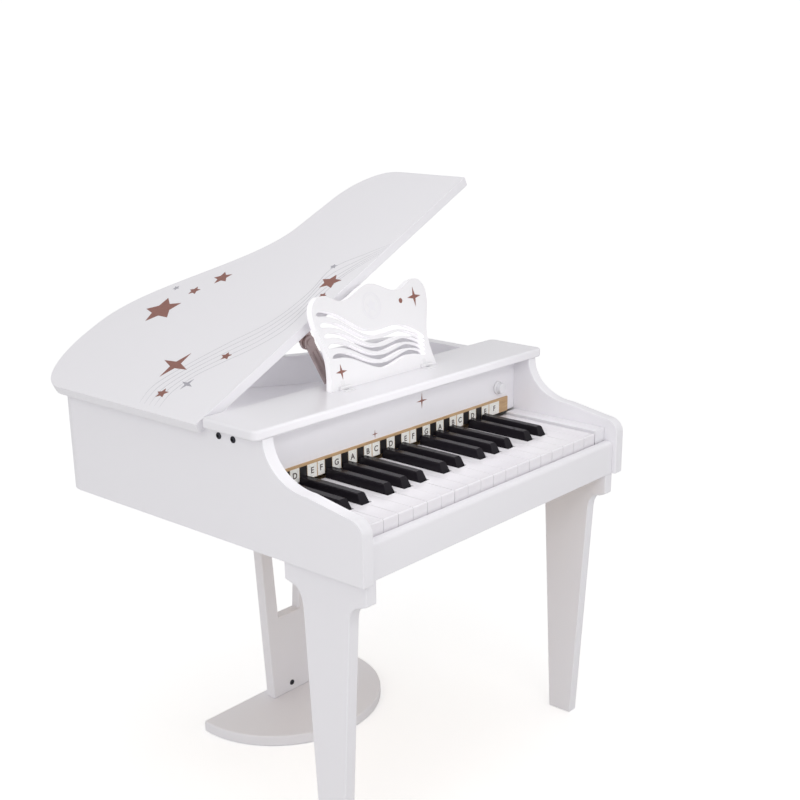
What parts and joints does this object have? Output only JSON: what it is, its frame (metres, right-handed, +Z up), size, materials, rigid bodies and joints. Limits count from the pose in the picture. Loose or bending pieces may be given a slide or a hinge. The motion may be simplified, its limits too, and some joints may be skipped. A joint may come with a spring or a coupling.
{
  "type": "miniature grand piano",
  "caption": "White lacquered miniature grand piano on three legs, with a propped curved lid, folding music desk, knob and a working keyboard striking chime rods.",
  "frame": {"origin": "on the floor, at the middle of the round edge of the rear foot plate, under the rear leg", "axes": "+Z up, +X to the player's right (treble end), -Y towards the player"},
  "size_m": [0.4978, 0.517, 0.6945],
  "materials": {
    "lacquer": "white gloss lacquer over fibreboard",
    "bare_wood": "sanded, unpainted",
    "strip": "satin wood strip with printed boxes",
    "steel": "bright steel",
    "white_metal": "white paint",
    "felt": "pressed wool felt",
    "cast_bar": "cast, lightly painted",
    "dark_screw": "black oxide",
    "copper": "rose copper finish",
    "white_plastic": "glossy",
    "white_key": "glossy, faintly lavender white",
    "black_key": "glossy black"
  },
  "bodies": {
    "case": {"left_side": "lacquer", "right_side": "lacquer", "bent_rim": "lacquer", "bottom_board": "bare_wood", "key_slip": "lacquer", "key_blocks": "lacquer", "shelf": "lacquer", "fallboard": "lacquer", "note_strip": "strip", "inner_boards": "lacquer", "pivot_rod": "steel", "key_rails": "bare_wood", "key_felts": "felt", "chime_block": "cast_bar", "chime_rods": "steel", "screws": "dark_screw", "left_leg": "lacquer", "right_leg": "lacquer", "rear_leg": "lacquer", "foot_plate": "lacquer", "stay_rail": "copper", "lid_hinge_case": "steel", "desk_hinge_base": "white_metal"},
    "lid_body": {"lid": "lacquer", "lid_hinge_lid": "steel", "stay_bracket": "copper"},
    "stay_body": {"stay_arm": "copper"},
    "desk_body": {"music_desk": "lacquer", "desk_hinge_leaf": "white_metal"},
    "knob_body": {"knob": "white_plastic"},
    "white_key_01": {"white_key_01": "white_key"},
    "white_key_02": {"white_key_02": "white_key"},
    "white_key_03": {"white_key_03": "white_key"},
    "white_key_04": {"white_key_04": "white_key"},
    "white_key_05": {"white_key_05": "white_key"},
    "white_key_06": {"white_key_06": "white_key"},
    "white_key_07": {"white_key_07": "white_key"},
    "white_key_08": {"white_key_08": "white_key"},
    "white_key_09": {"white_key_09": "white_key"},
    "white_key_10": {"white_key_10": "white_key"},
    "white_key_11": {"white_key_11": "white_key"},
    "white_key_12": {"white_key_12": "white_key"},
    "white_key_13": {"white_key_13": "white_key"},
    "white_key_14": {"white_key_14": "white_key"},
    "white_key_15": {"white_key_15": "white_key"},
    "white_key_16": {"white_key_16": "white_key"},
    "white_key_17": {"white_key_17": "white_key"},
    "white_key_18": {"white_key_18": "white_key"},
    "black_key_01": {"black_key_01": "black_key"},
    "black_key_02": {"black_key_02": "black_key"},
    "black_key_03": {"black_key_03": "black_key"},
    "black_key_04": {"black_key_04": "black_key"},
    "black_key_05": {"black_key_05": "black_key"},
    "black_key_06": {"black_key_06": "black_key"},
    "black_key_07": {"black_key_07": "black_key"},
    "black_key_08": {"black_key_08": "black_key"},
    "black_key_09": {"black_key_09": "black_key"},
    "black_key_10": {"black_key_10": "black_key"},
    "black_key_11": {"black_key_11": "black_key"},
    "black_key_12": {"black_key_12": "black_key"}
  },
  "joints": [
    {"name": "lid_hinge", "type": "hinge", "parent": "case", "child": "lid_body", "pos_m": [-0.232, -0.041, 0.47], "axis": [0, -1, 0], "range_deg": [-26.5, 0]},
    {"name": "stay_swing", "type": "hinge", "parent": "lid_body", "child": "stay_body", "pos_m": [-0.08435, -0.156, 0.53244], "axis": [0, -1, 0], "range_deg": [0, 75.6]},
    {"name": "desk_fold", "type": "hinge", "parent": "case", "child": "desk_body", "pos_m": [0, -0.1964, 0.484], "axis": [1, 0, 0], "range_deg": [0, 104]},
    {"name": "knob_turn", "type": "hinge", "parent": "case", "child": "knob_body", "pos_m": [0.1845, -0.225, 0.4365], "axis": [0, 1, 0], "range_deg": [-150, 150]},
    {"name": "press_white_key_01", "type": "hinge", "parent": "case", "child": "white_key_01", "pos_m": [-0.19675, -0.197, 0.385], "axis": [1, 0, 0], "range_deg": [0, 2.4]},
    {"name": "press_white_key_02", "type": "hinge", "parent": "case", "child": "white_key_02", "pos_m": [-0.17425, -0.197, 0.385], "axis": [1, 0, 0], "range_deg": [0, 2.4]},
    {"name": "press_white_key_03", "type": "hinge", "parent": "case", "child": "white_key_03", "pos_m": [-0.15175, -0.197, 0.385], "axis": [1, 0, 0], "range_deg": [0, 2.4]},
    {"name": "press_white_key_04", "type": "hinge", "parent": "case", "child": "white_key_04", "pos_m": [-0.12925, -0.197, 0.385], "axis": [1, 0, 0], "range_deg": [0, 2.4]},
    {"name": "press_white_key_05", "type": "hinge", "parent": "case", "child": "white_key_05", "pos_m": [-0.10675, -0.197, 0.385], "axis": [1, 0, 0], "range_deg": [0, 2.4]},
    {"name": "press_white_key_06", "type": "hinge", "parent": "case", "child": "white_key_06", "pos_m": [-0.08425, -0.197, 0.385], "axis": [1, 0, 0], "range_deg": [0, 2.4]},
    {"name": "press_white_key_07", "type": "hinge", "parent": "case", "child": "white_key_07", "pos_m": [-0.06175, -0.197, 0.385], "axis": [1, 0, 0], "range_deg": [0, 2.4]},
    {"name": "press_white_key_08", "type": "hinge", "parent": "case", "child": "white_key_08", "pos_m": [-0.03925, -0.197, 0.385], "axis": [1, 0, 0], "range_deg": [0, 2.4]},
    {"name": "press_white_key_09", "type": "hinge", "parent": "case", "child": "white_key_09", "pos_m": [-0.01675, -0.197, 0.385], "axis": [1, 0, 0], "range_deg": [0, 2.4]},
    {"name": "press_white_key_10", "type": "hinge", "parent": "case", "child": "white_key_10", "pos_m": [0.00575, -0.197, 0.385], "axis": [1, 0, 0], "range_deg": [0, 2.4]},
    {"name": "press_white_key_11", "type": "hinge", "parent": "case", "child": "white_key_11", "pos_m": [0.02825, -0.197, 0.385], "axis": [1, 0, 0], "range_deg": [0, 2.4]},
    {"name": "press_white_key_12", "type": "hinge", "parent": "case", "child": "white_key_12", "pos_m": [0.05075, -0.197, 0.385], "axis": [1, 0, 0], "range_deg": [0, 2.4]},
    {"name": "press_white_key_13", "type": "hinge", "parent": "case", "child": "white_key_13", "pos_m": [0.07325, -0.197, 0.385], "axis": [1, 0, 0], "range_deg": [0, 2.4]},
    {"name": "press_white_key_14", "type": "hinge", "parent": "case", "child": "white_key_14", "pos_m": [0.09575, -0.197, 0.385], "axis": [1, 0, 0], "range_deg": [0, 2.4]},
    {"name": "press_white_key_15", "type": "hinge", "parent": "case", "child": "white_key_15", "pos_m": [0.11825, -0.197, 0.385], "axis": [1, 0, 0], "range_deg": [0, 2.4]},
    {"name": "press_white_key_16", "type": "hinge", "parent": "case", "child": "white_key_16", "pos_m": [0.14075, -0.197, 0.385], "axis": [1, 0, 0], "range_deg": [0, 2.4]},
    {"name": "press_white_key_17", "type": "hinge", "parent": "case", "child": "white_key_17", "pos_m": [0.16325, -0.197, 0.385], "axis": [1, 0, 0], "range_deg": [0, 2.4]},
    {"name": "press_white_key_18", "type": "hinge", "parent": "case", "child": "white_key_18", "pos_m": [0.18575, -0.197, 0.385], "axis": [1, 0, 0], "range_deg": [0, 2.4]},
    {"name": "press_black_key_01", "type": "hinge", "parent": "case", "child": "black_key_01", "pos_m": [-0.18831, -0.197, 0.385], "axis": [1, 0, 0], "range_deg": [0, 2.4]},
    {"name": "press_black_key_02", "type": "hinge", "parent": "case", "child": "black_key_02", "pos_m": [-0.16206, -0.197, 0.385], "axis": [1, 0, 0], "range_deg": [0, 2.4]},
    {"name": "press_black_key_03", "type": "hinge", "parent": "case", "child": "black_key_03", "pos_m": [-0.12273, -0.197, 0.385], "axis": [1, 0, 0], "range_deg": [0, 2.4]},
    {"name": "press_black_key_04", "type": "hinge", "parent": "case", "child": "black_key_04", "pos_m": [-0.09645, -0.197, 0.385], "axis": [1, 0, 0], "range_deg": [0, 2.4]},
    {"name": "press_black_key_05", "type": "hinge", "parent": "case", "child": "black_key_05", "pos_m": [-0.07019, -0.197, 0.385], "axis": [1, 0, 0], "range_deg": [0, 2.4]},
    {"name": "press_black_key_06", "type": "hinge", "parent": "case", "child": "black_key_06", "pos_m": [-0.03081, -0.197, 0.385], "axis": [1, 0, 0], "range_deg": [0, 2.4]},
    {"name": "press_black_key_07", "type": "hinge", "parent": "case", "child": "black_key_07", "pos_m": [-0.00456, -0.197, 0.385], "axis": [1, 0, 0], "range_deg": [0, 2.4]},
    {"name": "press_black_key_08", "type": "hinge", "parent": "case", "child": "black_key_08", "pos_m": [0.03478, -0.197, 0.385], "axis": [1, 0, 0], "range_deg": [0, 2.4]},
    {"name": "press_black_key_09", "type": "hinge", "parent": "case", "child": "black_key_09", "pos_m": [0.06105, -0.197, 0.385], "axis": [1, 0, 0], "range_deg": [0, 2.4]},
    {"name": "press_black_key_10", "type": "hinge", "parent": "case", "child": "black_key_10", "pos_m": [0.08731, -0.197, 0.385], "axis": [1, 0, 0], "range_deg": [0, 2.4]},
    {"name": "press_black_key_11", "type": "hinge", "parent": "case", "child": "black_key_11", "pos_m": [0.12669, -0.197, 0.385], "axis": [1, 0, 0], "range_deg": [0, 2.4]},
    {"name": "press_black_key_12", "type": "hinge", "parent": "case", "child": "black_key_12", "pos_m": [0.15294, -0.197, 0.385], "axis": [1, 0, 0], "range_deg": [0, 2.4]}
  ],
  "couplings": [
    {"joint": "stay_swing", "follows": "lid_hinge", "ratio": -2.8491}
  ]
}
